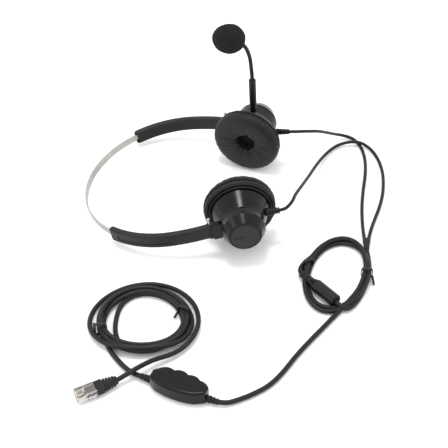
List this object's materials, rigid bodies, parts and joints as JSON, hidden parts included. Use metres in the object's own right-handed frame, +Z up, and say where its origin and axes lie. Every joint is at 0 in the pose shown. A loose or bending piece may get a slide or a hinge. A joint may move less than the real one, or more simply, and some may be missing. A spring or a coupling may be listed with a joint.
{
  "type": "binaural office headset",
  "caption": "Corded over-head headset with padded ear cups on sliding arms, turning boom microphone, tied cord, in-line control and modular plug.",
  "frame": {"origin": "on the table top, below the centre of the headset's own box (band, arms, cups and boom), with the cord left out", "axes": "+Z up from the table; the headset lies on its side, opening towards +X, with the boom cup on the +Y side; the cord lies at +X and -Y"},
  "size_m": [0.2593, 0.3125, 0.1421],
  "materials": {
    "spring_steel": "cold-rolled spring strip, fine lengthwise brushing",
    "arm_plastic": "fine spark-eroded grain, slight sheen",
    "black_plastic": "smooth moulded satin",
    "gloss_black": "polished mould, soft reflections",
    "satin_grey": "satin insert",
    "leatherette": "black polyurethane leatherette with a pebbled grain and gathered edge",
    "black_cloth": "thin open-weave acoustic cloth",
    "soft_rubber": "soft moulded elastomer, matt",
    "cord_jacket": "flexible jacket, semi-matt",
    "foam": "open-cell foam, matt",
    "bright_steel": "plated steel",
    "aluminium_can": "drawn can",
    "circuit_board": "solder mask over glass laminate",
    "tie_plastic": "flat coated wire twist tie",
    "clear_plastic": "clear moulded polycarbonate",
    "gold_contact": "thin gold plating"
  },
  "bodies": {
    "headband": {"headband_strip": "spring_steel", "strip_stops": "black_plastic", "near_branch_cord": "cord_jacket", "far_branch_cord": "cord_jacket", "y_splitter": "cord_jacket", "coil_1": "cord_jacket", "qd_plug": "black_plastic", "qd_socket": "black_plastic", "middle_cord": "cord_jacket", "control_top_shell": "gloss_black", "control_bottom_shell": "gloss_black", "control_reliefs": "soft_rubber", "control_board": "circuit_board", "coil_2": "cord_jacket", "box_lead": "cord_jacket", "plug_lead": "cord_jacket", "twist_ties": "tie_plastic", "plug_body": "clear_plastic", "plug_contacts": "gold_contact", "plug_boot": "soft_rubber"},
    "far_arm": {"far_arm_shell": "arm_plastic", "far_arm_liner": "black_plastic", "far_detent_spring": "bright_steel", "far_swivel_pin": "bright_steel"},
    "near_arm": {"near_arm_shell": "arm_plastic", "near_arm_liner": "black_plastic", "near_detent_spring": "bright_steel", "near_swivel_pin": "bright_steel"},
    "far_cup": {"far_yoke": "black_plastic", "far_housing": "gloss_black", "far_hub": "gloss_black", "far_hub_cap": "satin_grey", "far_hub_screw": "bright_steel", "far_baffle": "black_plastic", "far_driver": "aluminium_can", "far_scrim": "black_cloth", "far_cushion": "leatherette", "far_strain_relief": "soft_rubber"},
    "near_cup": {"near_yoke": "black_plastic", "near_housing": "gloss_black", "near_hub": "gloss_black", "near_hub_cap": "satin_grey", "near_hub_screw": "bright_steel", "near_baffle": "black_plastic", "near_driver": "aluminium_can", "near_scrim": "black_cloth", "near_cushion": "leatherette", "near_strain_relief": "soft_rubber"},
    "boom": {"boom_ring": "black_plastic", "boom_sleeve": "black_plastic", "gooseneck_lower": "soft_rubber"},
    "mic": {"gooseneck_upper": "soft_rubber", "mic_housing": "black_plastic", "mic_capsule": "aluminium_can", "windscreen": "foam"},
    "volume_wheel": {"volume_wheel": "black_plastic"},
    "mute_slider": {"mute_slider": "black_plastic"},
    "plug_latch": {"plug_latch": "clear_plastic"}
  },
  "joints": [
    {"name": "far_arm_slide", "type": "hinge", "parent": "headband", "child": "far_arm", "pos_m": [-0.01066, 0.00433, 0.01805], "axis": [0.1925, -0.0164, -0.9812], "range_deg": [-11, 9], "deforming": ["far_branch_cord"]},
    {"name": "near_arm_slide", "type": "hinge", "parent": "headband", "child": "near_arm", "pos_m": [-0.01066, 0.00433, 0.01805], "axis": [-0.1925, 0.0164, 0.9812], "range_deg": [0, 20], "deforming": ["near_branch_cord"]},
    {"name": "far_cup_swivel", "type": "hinge", "parent": "far_arm", "child": "far_cup", "pos_m": [0.0342, 0.07092, 0.02574], "axis": [-0.1925, 0.0164, 0.9812], "range_deg": [-17.6, 12.4], "deforming": ["far_branch_cord"]},
    {"name": "near_cup_swivel", "type": "hinge", "parent": "near_arm", "child": "near_cup", "pos_m": [0.02046, -0.06972, 0.02539], "axis": [0.1925, -0.0164, -0.9812], "range_deg": [-20.4, 9.6], "deforming": ["near_branch_cord"]},
    {"name": "boom_turn", "type": "hinge", "parent": "far_cup", "child": "boom", "pos_m": [0.05723, 0.05958, 0.03045], "axis": [0.3498, 0.9353, 0.053], "range_deg": [-60, 170], "deforming": ["far_branch_cord", "near_branch_cord"]},
    {"name": "mic_bend", "type": "hinge", "parent": "boom", "child": "mic", "pos_m": [0.0527, 0.05496, 0.10419], "axis": [0.9357, -0.3516, 0.03], "range_deg": [-25, 25]},
    {"name": "volume_wheel_turn", "type": "hinge", "parent": "headband", "child": "volume_wheel", "pos_m": [-0.00744, -0.21097, 0.0041], "axis": [0.3907, 0.9205, 0], "range_deg": [-135, 135]},
    {"name": "mute_slide", "type": "slide", "parent": "headband", "child": "mute_slider", "axis": [0.9205, -0.3907, 0], "range_m": [-0.0028, 0.0028]},
    {"name": "latch_press", "type": "hinge", "parent": "headband", "child": "plug_latch", "pos_m": [-0.0731, -0.22171, 0.00135], "axis": [0.4833, -0.8755, 0], "range_deg": [0, 3.6], "stiffness_Nm_per_rad": 0.3}
  ]
}
